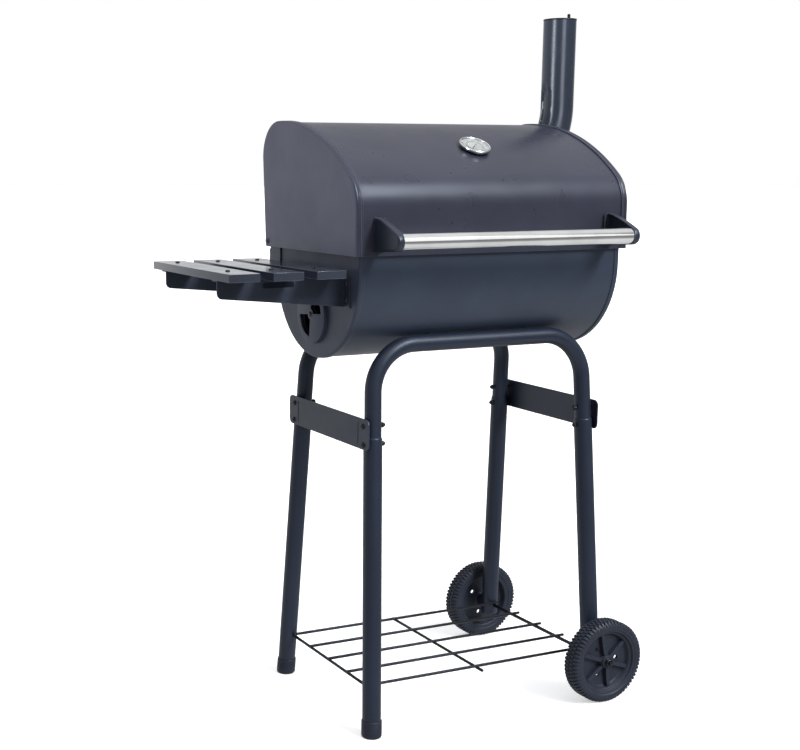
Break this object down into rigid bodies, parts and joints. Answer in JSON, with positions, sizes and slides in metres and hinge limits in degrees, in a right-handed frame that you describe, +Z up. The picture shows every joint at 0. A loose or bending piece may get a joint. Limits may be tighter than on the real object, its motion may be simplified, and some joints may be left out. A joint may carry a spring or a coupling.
{
  "type": "barrel charcoal grill",
  "caption": "Free-standing barrel charcoal grill with a hinged lid, chimney, lid thermometer, front handle, slatted side shelf, tube stand with a wire rack, and wheels on one side.",
  "frame": {"origin": "on the floor, under the middle of the whole grill's bounding box", "axes": "+Z up; +X along the barrel, from the side shelf towards the chimney and the wheels; -Y is the front, where the handle is; the lid hinges at +Y"},
  "size_m": [0.835, 0.4517, 1.234],
  "materials": {
    "barrel_paint": "satin blue-black powder coat on steel sheet",
    "stand_paint": "satin black powder coat on steel tube",
    "chimney_gloss": "gloss black enamel",
    "polished_steel": "polished tube",
    "black_steel": "black zinc plate",
    "black_wire": "black coated steel wire",
    "grate_enamel": "porcelain enamel on steel wire",
    "wheel_plastic": "moulded black plastic",
    "foot_plastic": "black plastic cap",
    "dial_paint": "pale dial face",
    "needle_paint": "red needle",
    "dial_glass": "flat clear glass"
  },
  "bodies": {
    "stand": {"axle": "black_steel", "axle_nut_front": "black_steel", "axle_nut_rear": "black_steel", "bottom_rack": "black_wire", "bowl_bolt_front_left": "black_steel", "bowl_bolt_front_right": "black_steel", "bowl_bolt_rear_left": "black_steel", "bowl_bolt_rear_right": "black_steel", "bowl_end_left": "barrel_paint", "bowl_end_right": "barrel_paint", "bowl_shell": "barrel_paint", "charcoal_grate": "black_wire", "cooking_grate": "grate_enamel", "damper_rivet": "black_steel", "foot_cap_front": "foot_plastic", "foot_cap_rear": "foot_plastic", "grate_ledge_left": "barrel_paint", "grate_ledge_right": "barrel_paint", "hinge_lug_left": "barrel_paint", "hinge_lug_right": "barrel_paint", "hinge_pin_left": "black_steel", "hinge_pin_right": "black_steel", "leg_front_left": "stand_paint", "leg_front_right": "stand_paint", "leg_rear_left": "stand_paint", "leg_rear_right": "stand_paint", "plate_bolt_front_left_lower": "black_steel", "plate_bolt_front_left_upper": "black_steel", "plate_bolt_front_right_lower": "black_steel", "plate_bolt_front_right_upper": "black_steel", "plate_bolt_rear_left_lower": "black_steel", "plate_bolt_rear_left_upper": "black_steel", "plate_bolt_rear_right_lower": "black_steel", "plate_bolt_rear_right_upper": "black_steel", "shelf_bracket_front": "barrel_paint", "shelf_bracket_rear": "barrel_paint", "shelf_slat_1": "barrel_paint", "shelf_slat_2": "barrel_paint", "shelf_slat_3": "barrel_paint", "side_plate_left": "stand_paint", "side_plate_right": "stand_paint", "u_tube_front": "stand_paint", "u_tube_rear": "stand_paint"},
    "lid": {"chimney_pipe": "chimney_gloss", "handle_bar": "polished_steel", "handle_bracket_left": "barrel_paint", "handle_bracket_right": "barrel_paint", "lid_end_left": "barrel_paint", "lid_end_right": "barrel_paint", "lid_shell": "barrel_paint", "thermometer_case": "polished_steel", "thermometer_dial": "dial_paint", "thermometer_lens": "dial_glass", "thermometer_nut": "black_steel"},
    "chimney_flap": {"chimney_flap": "chimney_gloss"},
    "air_damper": {"air_damper": "barrel_paint"},
    "wheel_front": {"wheel_front": "wheel_plastic"},
    "wheel_rear": {"wheel_rear": "wheel_plastic"},
    "thermometer_needle": {"thermometer_needle": "needle_paint"}
  },
  "joints": [
    {"name": "lid_hinge", "type": "hinge", "parent": "stand", "child": "lid", "pos_m": [0.0685, 0.17732, 0.819], "axis": [-1, 0, 0], "range_deg": [0, 100]},
    {"name": "chimney_flap_turn", "type": "hinge", "parent": "lid", "child": "chimney_flap", "pos_m": [0.4065, 0.12632, 1.22], "axis": [0, 0, 1], "range_deg": [0, 120]},
    {"name": "air_damper_turn", "type": "hinge", "parent": "stand", "child": "air_damper", "pos_m": [-0.1898, 0.01332, 0.702], "axis": [-1, 0, 0], "range_deg": [-90, 0]},
    {"name": "wheel_front_spin", "type": "hinge", "parent": "stand", "child": "wheel_front", "pos_m": [0.297, -0.18448, 0.075], "axis": [0, 1, 0], "continuous": true},
    {"name": "wheel_rear_spin", "type": "hinge", "parent": "stand", "child": "wheel_rear", "pos_m": [0.297, 0.20312, 0.075], "axis": [0, 1, 0], "continuous": true},
    {"name": "needle_turn", "type": "hinge", "parent": "lid", "child": "thermometer_needle", "pos_m": [0.078, -0.05797, 0.97995], "axis": [0, 0.4718, -0.8817], "range_deg": [0, 270], "stiffness_Nm_per_rad": 0.0002}
  ]
}
